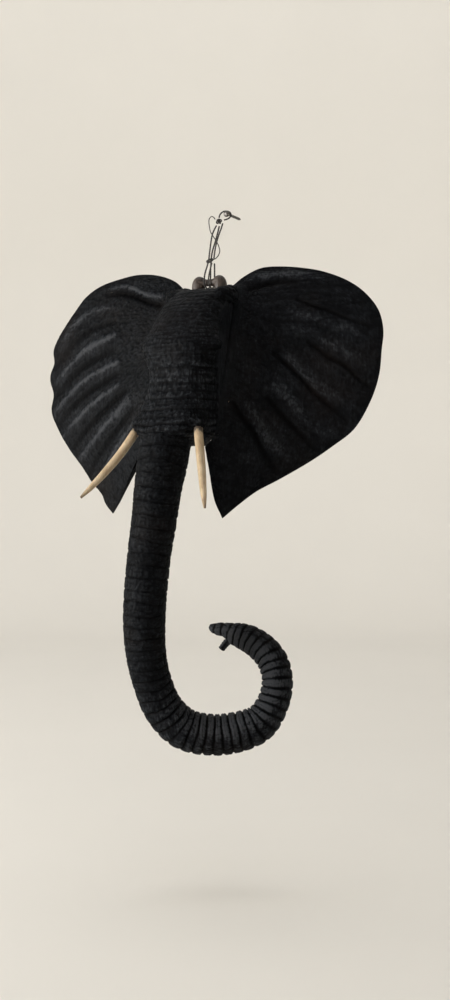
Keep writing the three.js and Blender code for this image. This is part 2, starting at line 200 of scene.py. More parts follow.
def grid_faces(rows, columns, closed):
    """Quads over rows of points, each row closed round or open."""
    last = columns if closed else columns - 1
    i, j = np.meshgrid(np.arange(rows - 1), np.arange(last), indexing="ij")
    a = i * columns + j
    b = i * columns + (j + 1) % columns
    return np.stack([a, b, b + columns, a + columns], -1).reshape(-1, 4).tolist()


def tube_mesh(name, line, radius, start, columns):
    """A closed round mesh along a line. radius is one number, or one per row and column."""
    rows = len(line)
    u, v = frames_along(line, start)
    angle = 2 * np.pi * np.arange(columns) / columns
    ring = u[:, None] * np.cos(angle)[:, None] + v[:, None] * np.sin(angle)[:, None]
    radius = np.broadcast_to(np.asarray(radius, float), (rows, columns))
    points = line[:, None] + ring * radius[..., None]
    ends = np.stack([points[0].mean(axis=0), points[-1].mean(axis=0)])
    faces = grid_faces(rows, columns, True)
    first, last = rows * columns, rows * columns + 1
    for j in range(columns):
        k = (j + 1) % columns
        faces.append([first, k, j])
        faces.append([last, (rows - 1) * columns + j, (rows - 1) * columns + k])
    return mesh_of(name, np.vstack([points.reshape(-1, 3), ends]), faces)


def set_relief(mesh, values):
    """Stores each point's carved height, 0 deep in a cut to 1 on a ridge, for the finishes: the black
    finish paints shade into the cuts and paints the ridges grey, partly rubbed wear and partly painted
    highlight.
    """
    relief = mesh.attributes.new("relief", "FLOAT", "POINT")
    relief.data.foreach_set("value", np.clip(values, 0, 1).astype(np.float32))


def points_of(mesh):
    points = np.empty(len(mesh.vertices) * 3)
    mesh.vertices.foreach_get("co", points)
    return points.reshape(-1, 3)


def normals_of(mesh):
    normals = np.empty(len(mesh.vertices) * 3)
    mesh.vertex_normals.foreach_get("vector", normals)
    return normals.reshape(-1, 3)


def move_points(mesh, points):
    mesh.vertices.foreach_set("co", points.ravel())
    mesh.update()


def outward(mesh):
    """Turns a closed mesh's faces outwards."""
    work = bmesh.new()
    work.from_mesh(mesh)
    bmesh.ops.recalc_face_normals(work, faces=work.faces)
    work.to_mesh(mesh)
    work.free()
    return mesh


def with_modifier(mesh, kind, **settings):
    """The mesh that a modifier makes of this one."""
    holder = bpy.data.objects.new("holder", mesh)
    scene.collection.objects.link(holder)
    modifier = holder.modifiers.new(kind, kind)
    for key, value in settings.items():
        setattr(modifier, key, value)
    depsgraph = bpy.context.evaluated_depsgraph_get()
    made = bpy.data.meshes.new_from_object(holder.evaluated_get(depsgraph))
    bpy.data.objects.remove(holder)
    return made


def joined(meshes):
    """One mesh from several that may run through each other, with what they share dissolved."""
    whole = meshes[0]
    for other in meshes[1:]:
        tool = bpy.data.objects.new("tool", other)
        scene.collection.objects.link(tool)
        whole = with_modifier(whole, "BOOLEAN", operation="UNION", solver="MANIFOLD", object=tool)
        bpy.data.objects.remove(tool)
    return whole


# ---------- cords ----------
CORD = 0.002
THREAD = 0.0013
CORD_STEP = 0.0005  # length of cord between two rings of its mesh
KNOT_CORD = CORD * 0.48
LONG_LOOP = [
    [-11, 22.6, -15], [-12.6, 25, -20], [-13.2, 29, -26.4], [-12, 34.5, -34.8], [-10, 41, -44.8],
    [-8.3, 46.6, -55], [-7.2, 51, -63.5], [-5.9, 57.5, -72], [-4.9, 64, -80], [-4.2, 67.4, -86.5],
    [-3.8, 68.6, -92.5], [-3.4, 66.7, -97.2], [-3, 62, -99.1], [-2.6, 57.3, -97.2], [-2.4, 55.4, -92.5],
    [-2.6, 54.4, -85], [-3.3, 53, -76], [-4.3, 50.2, -67.5], [-5, 48, -62], [-6.4, 43.6, -54],
    [-7.2, 38.2, -45.6], [-7.5, 33, -38], [-7.5, 28.6, -30], [-7.5, 24.8, -22.4], [-7.2, 22.3, -16],
]
NAIL_LOOP = [
    [-9.6, 17.8, -4], [-10, 15.2, -0.4], [-8.6, 12.8, 2.8], [-5.6, 11.2, 4.6], [-2, 10.5, 4.2],
    [1.2, 10.4, 2.9], [3.1, 10.6, 0.2], [3, 11.6, -3], [0.6, 13.6, -5.8], [-3.2, 16.8, -7.6],
]
SHORT_LOOP = [
    [-2, 52.4, -67], [-0.9, 57.4, -73.5], [0.4, 63, -80.5], [1.6, 67.2, -86.5], [2.2, 68.6, -92.5],
    [2.6, 66.7, -97.2], [2.9, 62, -99.1], [3.1, 57.3, -97.2], [3.1, 55.4, -92.5], [2.8, 54.2, -86],
    [1.8, 52.2, -78.5], [0.4, 49.6, -72], [-0.8, 47.6, -67],
]
SIDE_STRAND = [
    [-3.6, 20, -12.6], [-3.6, 23.4, -18.6], [-3.7, 27.9, -25], [-3.8, 32.2, -32], [-3.6, 37.2, -40.4],
    [-2.6, 42.4, -48.8], [-1.4, 46.6, -55.4], [-0.6, 49.4, -60.6],
]
LOOSE_THREAD = [
    [-14.4, 19.5, -6.2], [-16.8, 19.4, -3.2], [-19.8, 19.2, -2.2], [-22.3, 20, -4.9],
    [-22, 21.6, -10.4], [-19.6, 24.6, -16.4], [-16.4, 29.2, -21.6], [-12.6, 33.6, -26.2],
    [-8.4, 36.6, -30.8], [-4, 39.2, -35.6], [0, 41.8, -40.4], [3.6, 44.4, -45.8], [6.2, 47, -51.6],
    [6.4, 50, -57], [3.9, 52, -61.2], [0.6, 52.6, -62.8],
]
KNOT = at(-9.1, 19.5, -9.3)
KNOT_SIZE = np.array((4.2, 3.4, 3.2)) * MM
WHIPPING = at(-6, 49.6, -63.2)
WHIPPING_WAY = unit(at(-0.16, -0.57, 0.81) * np.array((1, -1, 1)))
WHIPPING_RADIUS = 0.00435
WHIPPING_HALF_HEIGHT = 0.0012
WHIPPING_THREAD = 0.00046


def twisted(name, route, diameter, columns=12, lobes=2, lay=3.2):
    """A twisted cord: its thickness swells where each ply comes round."""
    points = [at(*p) for p in route]
    length = run_along(spline(points, 200))[-1]
    line = spline(points, max(40, int(length / CORD_STEP)))
    run = run_along(line)
    angle = 2 * np.pi * np.arange(columns) / columns
    turn = run[:, None] / (lay * diameter) * 2 * np.pi
    radius = diameter / 2 * (0.93 + 0.07 * np.cos(lobes * (angle - turn)))
    return tube_mesh(name, line, radius, (0.3, 0.2, 0.9), columns), line, run[-1]


def make_cord(name, node, route, diameter):
    mesh, line, length = twisted(name, route, diameter)
    set_relief(mesh, np.full(len(mesh.vertices), 0.5))
    piece = new_object(name, mesh, "cord", node)
    return piece


def knot_mesh():
    """Three tight turns of cord drawn into a lump."""
    t = np.linspace(0, 2 * np.pi, 260, endpoint=False)
    swing = 2 + np.cos(3 * t)
    line = np.stack([swing * np.cos(2 * t), swing * np.sin(2 * t), np.sin(3 * t) * 1.6], -1)
    line = line / np.abs(line).max(axis=0) * (KNOT_SIZE - KNOT_CORD) + KNOT
    line = np.vstack([line, line[:1]])
    return tube_mesh("knot_wound", line, KNOT_CORD, (0, 0, 1), 12)


def whipping_mesh():
    """Two and a half turns of thread round the strands."""
    t = np.linspace(-2.6 * np.pi, 2.6 * np.pi, 220)
    across = unit(np.cross(WHIPPING_WAY, (0, 1, 0)))
    other = np.cross(WHIPPING_WAY, across)
    ring = np.cos(t)[:, None] * across + np.sin(t)[:, None] * other
    line = WHIPPING + ring * WHIPPING_RADIUS + WHIPPING_WAY * (t[:, None] / t[-1]) * WHIPPING_HALF_HEIGHT
    return tube_mesh("whipping_wound", line, WHIPPING_THREAD, WHIPPING_WAY, 10)


knot = new_object("knot_wound", knot_mesh(), "cord", "cord_knot")
whipping = new_object("whipping_wound", whipping_mesh(), "cord", "cord_whipping")
for wound in (knot, whipping):
    set_relief(wound.data, np.full(len(wound.data.vertices), 0.5))
cords = [
    make_cord("long_loop_twisted", "cord_long_loop", LONG_LOOP, CORD),
    make_cord("nail_loop_twisted", "cord_nail_loop", NAIL_LOOP, CORD),
    make_cord("short_loop_twisted", "cord_short_loop", SHORT_LOOP, CORD),
    make_cord("side_strand_twisted", "cord_side_strand", SIDE_STRAND, CORD),
    make_cord("loose_thread_twisted", "cord_loose_thread", LOOSE_THREAD, THREAD),
]

# ---------- trunk ----------
TRUNK_LINE = [
    [-11, 150, -286, 30.7], [-11, 157, -310, 30.2], [-13, 165, -344, 28.3], [-15, 170, -379, 27],
    [-19, 175, -422, 25.9], [-23, 177, -472, 25.5], [-26, 173, -509, 24.9], [-27, 166, -539, 23.9],
    [-25, 158, -564, 23.3], [-17, 146, -597, 23.5], [2, 131, -622, 24.1], [32, 113, -630, 23.9],
    [63, 97, -625, 23.1], [80, 88, -616, 21.5], [90, 80, -600, 19.5], [95, 74, -581, 18.5],
    [94, 70, -562, 18.3], [86, 67, -544, 18.3], [72, 66, -530, 17.7], [56, 66, -521, 16.7],
    [40, 67, -516, 14.6], [26, 69, -511.5, 9.6], [12, 71, -509.8, 7.2], [5.6, 72, -507.6, 3.6],
]
LOWER_FINGER = [[37, 68, -516, 6], [31, 69, -522.5, 4.8], [26, 69.5, -527.5, 4.4], [20.4, 70, -534.4, 3.9]]
TRUNK_ROWS = 690
TRUNK_COLUMNS = 136
# Spacing of the rings along the middle of the trunk: [length run, spacing].
RING_SPACING = [
    [0, 15.5], [110, 14.5], [200, 13], [300, 12.2], [380, 10.4], [520, 10], [640, 9.4], [720, 8],
]
# The relief swells outwards, so the skin starts this many millimetres lower.
TRUNK_ALLOWANCE = 0.6
HEAD_ALLOWANCE = 0.25


def stations(rows):
    """Places and radii of [x, d, z, radius] rows, in metres."""
    return np.array([[*at(x, d, z), radius * MM] for x, d, z, radius in rows])


def trunk_relief(run, angle, radius, place):
    """Height of the carved surface over the trunk's plain skin, in millimetres."""
    run = run[:, None] / MM + 0 * angle
    spacing_at = np.array(RING_SPACING).T
    spacing = np.interp(run, *spacing_at)
    fine_run = np.linspace(0, run.max(), 2000)
    steps = np.diff(fine_run) / np.interp(fine_run[1:], *spacing_at)
    count = np.concatenate([[0], np.cumsum(steps)])
    around = round_place(angle, run * 0.02)
    sway = 0.16 * noise(around, (0.9, 0.9, 0.34), 11) + 0.05 * noise(around, (0.3, 0.3, 0.3), 12)
    ring = np.interp(run, fine_run, count) + sway
    band = np.round(ring)
    off = (ring - band) * spacing
    depth = 0.7 + 0.6 * noise(round_place(angle, band * 7.3), (0.5, 0.5, 1), 13)
    lower = smoothstep(230, 380, run)
    height = -(1.35 + 0.75 * lower) * depth * cut(off, 1.1 + 0.6 * lower) ** 0.8
    height += (0.25 + 0.6 * lower) * np.sqrt(np.clip(np.abs(off) / (spacing / 2), 0, 1)) - 0.2
    # fine broken wrinkles between the rings
    height -= 0.7 * creases(place / MM, (7, 7, 2.6), 26, 0.24) * (1 - 0.6 * lower)
    # folds bunch up on the inner side of the curl
    inner = smoothstep(0.15, 0.95, np.cos(angle + 0.25)) * smoothstep(250, 420, run)
    middle = (np.abs(ring - band) - 0.5) * spacing
    height -= 1.1 * inner * cut(middle + 0.5 * sway, 1.2)
    height += 1.5 * inner * np.sqrt(np.clip(np.abs(off) / (spacing / 2), 0, 1))
    # short chisel marks run along the trunk between the rings, slanted differently in each band
    band_id = np.floor(ring)
    band_number = band_id.astype(np.int64)
    slant = hashed(band_number, band_number, 0 * band_number, 5)
    arc = angle * radius[:, None] / MM + slant * 0.75 * (ring - band_id) * spacing
    marks = np.stack([arc, (ring - band_id) * spacing * 0.16 + band_id * 9, 0 * arc], -1)
    patchy = 0.55 + 0.45 * noise(around, (0.5, 0.5, 0.2), 22)
    height -= (0.75 + 0.5 * lower) * creases(marks, (2.4, 1.5, 1), 21, 0.32) * patchy
    height -= 0.35 * creases(marks, (1.3, 1.2, 1), 24, 0.3)
    # short level wrinkles on the side that faces right
    right = smoothstep(-0.2, 0.8, np.cos(angle + 0.5)) * (1 - inner)
    height -= 0.7 * right * creases(place / MM, (9, 9, 3.2), 23, 0.22)
    height += 0.16 * noise(place / MM, (1.4, 1.4, 1.4), 25)
    return height


def trunk_mesh():
    line = spline(stations(TRUNK_LINE), TRUNK_ROWS)
    line, radius = line[:, :3], line[:, 3]
    angle = 2 * np.pi * np.arange(TRUNK_COLUMNS) / TRUNK_COLUMNS
    run = run_along(line)
    u, v = frames_along(line, (1, 0, 0))
    ring = u[:, None] * np.cos(angle)[:, None] + v[:, None] * np.sin(angle)[:, None]
    place = line[:, None] + ring * radius[:, None, None]
    height = trunk_relief(run, angle[None, :], radius, place)
    fade = np.clip(radius / 0.022, 0.35, 1)[:, None]
    skin = radius[:, None] + (height * fade - TRUNK_ALLOWANCE) * MM
    limb = tube_mesh("trunk_limb", line, skin, (1, 0, 0), TRUNK_COLUMNS)
    finger_line = spline(stations(LOWER_FINGER), 60)
    finger_run = run_along(finger_line)[:, None] / MM
    finger_angle = 2 * np.pi * np.arange(48) / 48
    skin = finger_line[:, 3:] + 0.35 * MM * np.sin(finger_run * 1.9 + np.cos(finger_angle))
    finger = tube_mesh("trunk_finger", finger_line[:, :3], skin, (1, 0, 0), 48)
    whole = joined([outward(limb), outward(finger)])
    points = points_of(whole)
    # the relief value of each joined point is its nearest limb point's
    flat = place.reshape(-1, 3)
    tree = KDTree(len(flat))
    for i, point in enumerate(flat):
        tree.insert(point, i)
    tree.balance()
    heights = height.ravel()
    near = np.array([heights[tree.find(point)[1]] for point in points])
    # the carved height sets painted shade in the cuts and rubbed wear with painted highlight on the ridges
    set_relief(whole, 0.62 + near / 3.2)
    whole.name = "trunk_carved"
    return whole


# ---------- tusks ----------
TUSKS = {
    "left": ([-46, 155, -273], [-92, 205, -353], [1, -2.3, -2]),
    "right": ([34, 155, -273], [69, 205, -364], [-1, -2.3, -2]),
}
TUSK_RADIUS = 0.0056
SPIGOT = 0.020


def tusk_line(mouth, tip, bow):
    mouth, tip, bow = at(*mouth), at(*tip), at(*bow)
    between = lambda share: mouth + (tip - mouth) * share + bow
    way = unit(between(0.3) - mouth)
    places = [
        (mouth - way * SPIGOT, 1), (mouth - way * SPIGOT / 2, 1), (mouth, 1),
        (between(0.3), 0.95), (between(0.62), 0.82),
        (mouth + (tip - mouth) * 0.85 + bow * 0.5, 0.62), (tip, 0.27),
    ]
    return np.array([[*place, share * TUSK_RADIUS] for place, share in places]), way


def tusk_mesh(name, side):
    rows, columns = 220, 64
    line = spline(tusk_line(*side)[0], rows)
    run = run_along(line)[:, None]
    angle = 2 * np.pi * np.arange(columns) / columns
    place = round_place(angle, run * 60)
    # facets left by the knife, and hair-thin drying cracks
    height = 0.16 * noise(place, (0.55, 0.55, 1.6), 31)
    crack = creases(place, (0.22, 0.22, 5), 32, 0.10)
    height -= 0.12 * crack
    radius = line[:, 3:] * 0.955 + height * MM * np.clip(line[:, 3:] / TUSK_RADIUS, 0.2, 1)
    mesh = tube_mesh(name, line[:, :3], radius, (0, 1, 0), columns)
    share = run / run[-1] + 0 * angle
    set_relief(mesh, np.append(share.ravel(), [0, 1]))
    return mesh


# ---------- head ----------
SEAT = 40
BACK = 6
SEAT_FRONT = 124
# Level sections: height, half width of the sawn sides, half width of the face, the depth where
# the face is widest, its front, its back, and its shift to the right.
HEAD_LEVELS = [
    [-292, 18, 18, 110, 130, 92, -5], [-284, 29, 31, 144, 172, 104, -9],
    [-277, 38, 42, 148, 176, 86, -9], [-268, SEAT, 46, 145, 173, 46, -7],
    [-256, SEAT, 45, 141, 168, 18, -5], [-241, SEAT, 42, 137, 163, BACK, -3],
    [-224, SEAT, 39, 134, 159, BACK, -1], [-206, SEAT, 40.5, 132, 159, BACK, 0],
    [-192, SEAT, 45, 134, 162, BACK, 0], [-179, SEAT, 49, 134, 163, BACK, 0],
    [-168, SEAT, 47.5, 129, 160, BACK, 0], [-154, SEAT, 44, 119, 152, BACK, 0],
    [-138, SEAT, 41, 107, 141, BACK, 0], [-125, SEAT, 40, 96, 128, BACK, 0],
    [-115, 39, 39, 86, 115, 7, 0], [-108, 37, 37, 78, 104, 11, 0],
    [-104.5, 33, 33, 71, 95, 21, 0], [-102.3, 25, 25, 64, 82, 38, 0],
]
LIP_RADIUS = 9.5
LIP_DEPTH = 0.017
LIP_LEAD = 0.0022
HEAD_VOXEL = 0.0014
# Level cuts across the lower face: height and share of the full depth.
FACE_CUTS = {
    -204: 1.0, -212.5: 0.5, -221.5: 1.0, -230: 0.5, -239: 1.0, -246: 0.4, -252: 1.0, -261: 0.5, -270: 1.0,
    -279: 0.6,
}


def head_section(level, arc=30):
    z, side, face, widest, front, back, shift = level
    seat_end = min(SEAT_FRONT, widest - 6)
    bevel = min(5, (seat_end - back) / 3)
    flat = [[0, back], [side * 0.5, back], [side - 4, back], [side, back + bevel]]
    flat += [[side, back + bevel + (seat_end - back - bevel) * k / 12] for k in range(1, 13)]
    turn = np.linspace(0, np.pi / 2, arc)
    bow = np.stack([face * np.cos(turn) ** 0.8, widest + (front - widest) * np.sin(turn)], -1)
    right = [at(x, d, z) for x, d in flat] + [at(x + shift, d, z) for x, d in bow]
    left = [at(-x, d, z) for x, d in flat[1:]] + [at(shift - x, d, z) for x, d in bow[:-1]]
    return right + left[::-1]


def stack_mesh(name, rings):
    rings = np.array(rings)
    rows, columns = rings.shape[:2]
    ends = np.stack([rings[0].mean(axis=0), rings[-1].mean(axis=0)])
    faces = grid_faces(rows, columns, True)
    for j in range(columns):
        k = (j + 1) % columns
        faces.append([rows * columns, k, j])
        faces.append([rows * columns + 1, (rows - 1) * columns + j, (rows - 1) * columns + k])
    return outward(mesh_of(name, np.vstack([rings.reshape(-1, 3), ends]), faces))


def rod_mesh(name, start, end, radii, columns=32):
    line = np.linspace(start, end, len(radii))
    side = (1, 0, 0) if abs(unit(end - start)[0]) < 0.8 else (0, 1, 0)
    return outward(tube_mesh(name, line, np.array(radii)[:, None] * MM, side, columns))


def levels_between(levels, count):
    table = np.array(levels, float)
    heights = np.linspace(table[0, 0], table[-1, 0], count)
    smooth = spline(np.column_stack([table[:, 0], table[:, 1] * 0, table[:, 2] * 0, table]), 400)
    order = np.argsort(smooth[:, 0])
    columns = [np.interp(heights, smooth[order, 0], smooth[order, c]) for c in range(4, 10)]
    return np.column_stack([heights, *columns])


def head_base():
    rings = [head_section(row) for row in levels_between(HEAD_LEVELS, 90)]
    pieces = [stack_mesh("head_block", rings)]
    for name, side in TUSKS.items():
        way = tusk_line(*side)[1]
        mouth = at(*side[0])
        radii = [8, LIP_RADIUS, LIP_RADIUS + 0.8, LIP_RADIUS, 7.6]
        pieces.append(rod_mesh("lip_" + name, mouth - way * LIP_DEPTH, mouth + way * LIP_LEAD, radii))
    for sign in (-1, 1):
        brow = at(sign * 43, 131, -176)
        pieces.append(blob_mesh("brow", brow, (9, 12, 9)))
        pieces.append(blob_mesh("lid", at(sign * 43.5, 138, -189), (4.2, 6.2, 3.6)))
        pieces.append(blob_mesh("shoulder", at(sign * 32, 82, -113), (14, 21, 12)))
        pieces.append(blob_mesh("crown", at(sign * 31, 67, -104), (11, 13, 6.5)))
    whole = joined(pieces)
    whole = with_modifier(whole, "REMESH", mode="VOXEL", voxel_size=HEAD_VOXEL)
    whole = with_modifier(whole, "SMOOTH", iterations=6, factor=0.5)
    return whole


def blob_mesh(name, centre, size):
    work = bmesh.new()
    bmesh.ops.create_icosphere(work, subdivisions=4, radius=1)
    mesh = bpy.data.meshes.new(name)
    work.to_mesh(mesh)
    work.free()
    move_points(mesh, points_of(mesh) * np.array(size) * MM + centre)
    return mesh


def head_relief(p, n):
    """Height of the carved surface over the head's plain skin, in millimetres."""
    x, d, z = p[:, 0] / MM, -p[:, 1] / MM, p[:, 2] / MM
    q = p / MM
    front = smoothstep(104, 128, d + 0.25 * (z + 180) * (z > -180))
    height = np.zeros(len(p))
    # level wrinkles over the forehead, closer and finer than those of the lower face
    sway = 1.6 * noise(q, (22, 22, 40), 41) + 0.5 * noise(q, (6, 6, 9), 42)
    brow = smoothstep(-200, -190, z)
    lines = np.abs(((z + sway) / 5.2) % 1 - 0.5) * 5.2
    fade = 0.5 + 0.5 * noise(q, (11, 11, 7), 43)
    height -= 1.1 * brow * cut(lines, 1.05) * fade * front
    for level, share in FACE_CUTS.items():
        deep = share * (0.7 + 0.7 * noise(q + level, (9, 9, 60), 44))
        wave = 1.6 * noise(q + level, (12, 12, 60), 45)
        height -= 1.8 * cut(z - level + wave, 1.25) * deep * front * (1 - brow)
        height += 0.35 * share * bump(z - level - 4 + wave, 2.4) * front * (1 - brow)
    # chopped strokes everywhere: level on the face, steep beside the ears
    height -= 0.75 * creases(q, (7, 7, 2.3), 46, 0.26) * front
    height -= 0.5 * creases(q, (3, 3, 3.4), 52, 0.24) * front
    height -= 0.7 * creases(q, (2.2, 2.6, 7), 47, 0.28) * (0.35 + 0.65 * (1 - brow))
    steep = smoothstep(24, 34, np.abs(x)) * smoothstep(-135, -120, z)
    tilted = np.stack([q[:, 0] + 0.9 * q[:, 2], q[:, 1], q[:, 2] - 0.9 * q[:, 0]], -1)
    height -= 1.5 * creases(tilted, (2.6, 6, 11), 48, 0.3) * steep
    # folds round the eye and ragged strokes round the tusk lips
    for sign in (-1, 1):
        away = np.linalg.norm((q - at(sign * 44, 138, -189) / MM) / (1, 1.5, 1), axis=-1)
        eye = bump(away - 7.5, 1.3) + 0.8 * bump(away - 11, 1.2)
        height -= 1.5 * eye * smoothstep(20, 6, away) * (np.abs(x) > 30)
        slit = cut(z + 189 + 0.06 * (d - 138), 0.9) * (away < 6)
        height -= 1.3 * slit
    for mouth, tip, bow in TUSKS.values():
        way = tusk_line(mouth, tip, bow)[1]
        from_mouth = q - at(*mouth) / MM
        along_way = from_mouth @ way
        off = from_mouth - along_way[:, None] * way
        reach = np.linalg.norm(off, axis=-1)
        turn = np.arctan2(off[:, 2], off[:, 0])
        strokes = creases(np.stack([turn * 7, along_way * 0.12, 0 * turn], -1), (1.3, 1.2, 1), 49, 0.35)
        height -= 1.3 * strokes * smoothstep(18, 11, reach) * smoothstep(-26, -14, along_way)
    height += 0.22 * noise(q, (1.7, 1.7, 1.7), 50)
    sawn = (d < 10) | ((np.abs(n[:, 0]) > 0.97) & (d < 116))
    return np.where(sawn, 0.12 * noise(q, (1, 9, 1.2), 51), height)


def head_mesh():
    mesh = head_base()
    points, normals = points_of(mesh), normals_of(mesh)
    height = head_relief(points, normals)
    move_points(mesh, points + normals * ((height - HEAD_ALLOWANCE) * MM)[:, None])
    # the carved height sets painted shade in the cuts and rubbed wear with painted highlight on the ridges
    set_relief(mesh, 0.66 + height / 3.4)
    mesh.polygons.foreach_set("use_smooth", np.ones(len(mesh.polygons), bool))
    mesh.name = "head_carved"
    return mesh


# ---------- ears ----------
EARS = {
    "left": {
        "sign": -1,
        # share of the folds' height and width that the ridges and the furrows take
        "ridges": (0.66, 0.62),
        "furrows": (0.85, 0.6),
        "outer": [
            [-36, 61, -98], [-47, 62, -88], [-69, 62, -79], [-99, 60, -75], [-129, 58, -78],
            [-160, 56, -85], [-182, 55, -97], [-198, 54, -113], [-213, 54, -131], [-226, 54, -149],
            [-232, 54, -163], [-231, 54, -179], [-237, 55, -197], [-230, 57, -220], [-231, 60, -241],
            [-217, 65, -266], [-195, 72, -292], [-172, 80, -313], [-152, 88, -333], [-132, 96, -349],
            [-123, 101, -361], [-110, 106, -372],
        ],
        "inner": [[-97, 110, -356], [-84, 114, -334], [-70, 118, -310], [-57, 119, -290]],
        # raised folds and cut creases: [height or depth, half width, [x, z], [x, z], ...]
        "folds": [
            [3.4, 7, [-128, -150], [-178, -168], [-226, -205]],
            [3.2, 6, [-118, -184], [-176, -206], [-230, -247]],
            [3.0, 6, [-112, -212], [-164, -240], [-212, -278]],
            [3.0, 7, [-96, -232], [-146, -276], [-182, -312]],
            [2.6, 6, [-84, -262], [-124, -310], [-146, -346]],
            [2.2, 8, [-140, -112], [-186, -124], [-224, -160]],
            [-2.6, 6, [-130, -170], [-178, -188], [-228, -226]],
            [-2.8, 6, [-120, -200], [-172, -224], [-222, -262]],
            [-2.8, 6, [-102, -222], [-154, -258], [-194, -296]],
            [-2.6, 6, [-88, -246], [-134, -292], [-162, -330]],
            [-2.0, 6, [-130, -132], [-180, -146], [-226, -184]],
            [-4.2, 5, [-62, -118], [-92, -106], [-122, -98], [-150, -97]],
            [3.4, 4.5, [-60, -108], [-90, -98], [-120, -89], [-148, -90]],
        ],
    },
    "right": {
        "sign": 1,
        "ridges": (0.42, 0.85),
        "furrows": (0.95, 0.62),
        "outer": [
            [31.5, 60, -97.5], [42, 54, -87.5], [62, 46, -77], [89, 38, -76], [113, 33, -79],
            [135, 30, -84], [164, 26, -96], [185, 24, -111], [202, 22, -133], [208, 22, -157],
            [206, 22, -180], [203, 23, -210], [194, 26, -239], [175, 30, -272], [150, 35, -292],
            [124, 42, -310], [92, 55, -330], [67, 72, -346], [52, 90, -362], [41, 108, -377],
        ],
        "inner": [[33, 112, -356], [28, 116, -321], [24, 119, -294]],
        "folds": [
            [-3.4, 6, [58, -104], [84, -98], [112, -98]],
            [3.0, 6, [54, -92], [84, -86], [116, -87], [150, -98]],
            [-2.6, 3.2, [112, -120], [150, -134], [198, -154]],
            [2.4, 7, [112, -132], [150, -148], [198, -170]],
            [-2.8, 3.4, [128, -172], [160, -194], [196, -224]],
            [2.4, 8, [118, -154], [156, -176], [200, -202]],
            [-3.0, 3.6, [92, -184], [130, -222], [172, -266]],
            [2.4, 8, [108, -188], [144, -224], [184, -250]],
            [-3.0, 3.8, [88, -236], [112, -276], [134, -298]],
            [2.6, 8, [100, -222], [126, -262], [152, -284]],
            [-3.0, 3.8, [52, -242], [74, -288], [88, -326]],
            [2.4, 8, [68, -244], [90, -290], [110, -314]],
        ],
    },
}
EAR_ROOT = {"top": (62, -104), "bottom": (116, -279)}
EAR_GAP = 0.3
EAR_COLUMNS = {"outer": 250, "inner": 50}
EAR_ROWS = 150
ROOT_THICKNESS = 18
EDGE_THICKNESS = 4


def ear_outline(side):
    outer = spline([at(*p) for p in side["outer"]], EAR_COLUMNS["outer"] + 1)
    inner = spline([at(*p) for p in [side["outer"][-1], *side["inner"]]], EAR_COLUMNS["inner"] + 1)
    return np.vstack([outer, inner[1:]])


def root_share():
    outer = np.linspace(0, 1, EAR_COLUMNS["outer"] + 1)
    inner = np.linspace(0, 1, EAR_COLUMNS["inner"] + 1)[1:]
    return np.concatenate([0.86 * outer**1.25, 0.86 + 0.14 * inner])


def distance_to(x, z, line):
    """Distance from each point to a broken line in the x-z plane, and the share run along it."""
    best = np.full(x.shape, np.inf)
    share = np.zeros(x.shape)
    steps = len(line) - 1
    for i, ((x0, z0), (x1, z1)) in enumerate(zip(line, line[1:])):
        dx, dz = x1 - x0, z1 - z0
        t = np.clip(((x - x0) * dx + (z - z0) * dz) / (dx * dx + dz * dz), 0, 1)
        off = np.hypot(x - x0 - t * dx, z - z0 - t * dz)
        share = np.where(off < best, (i + t) / steps, share)
        best = np.minimum(best, off)
    return best, share


def ear_relief(side, p, s, share):
    """Height of the carved front face of an ear over its plain skin, in millimetres."""
    x, z = p[..., 0] / MM, p[..., 2] / MM
    q = p / MM
    height = np.zeros(x.shape)
    sway = 2.5 * noise(q, (28, 28, 28), 61)
    for amount, width, *line in side["folds"]:
        points = [(a, b) for a, b in line]
        dense = spline([[a, b, 0] for a, b in points], 14)[:, :2].tolist()
        off, along = distance_to(x + sway, z + sway * 0.6, dense)
        swell = np.sin(np.pi * np.clip(0.12 + 0.88 * along, 0, 1) ** 0.8) ** 0.5
        soft, narrow = side["ridges"] if amount > 0 else side["furrows"]
        height += amount * soft * bump(off, width * narrow) * swell
    # carved strokes: along the folds, then a finer net across them
    sign = side["sign"]
    tilt = math.radians(40 if sign < 0 else 38)
    a = -sign * x * math.cos(tilt) + z * math.sin(tilt)
    b = sign * x * math.sin(tilt) + z * math.cos(tilt)
    strokes = np.stack([a, b, 0 * a], -1)
    wander = strokes + 1.4 * noise(q, (9, 9, 9), 62)[..., None]
    height -= 0.85 * creases(wander, (16, 3.4, 1), 63, 0.24) * (0.6 + 0.4 * noise(q, (20, 20, 20), 64))
    height -= 0.55 * creases(wander, (3.2, 6.5, 1), 65, 0.22)
    height -= 0.5 * creases(wander, (6, 2, 1), 66, 0.25)
    height -= 0.5 * creases(q, (4.2, 9, 2.6), 73, 0.26)
    level = smoothstep(-190, -130, z) * smoothstep(0.15, 0.4, s)
    height -= (1.0 if sign > 0 else 0.5) * level * creases(q, (26, 60, 3.2), 67, 0.26)
    # the skin is pinched into short pleats towards the rim
    rim = smoothstep(0.9, 1.0, s)
    height -= 0.7 * rim * creases(np.stack([share * 130, s * 2, 0 * s], -1), (1.6, 1.4, 1), 68, 0.35)
    height += 0.18 * noise(q, (1.9, 1.9, 1.9), 69)
    return height


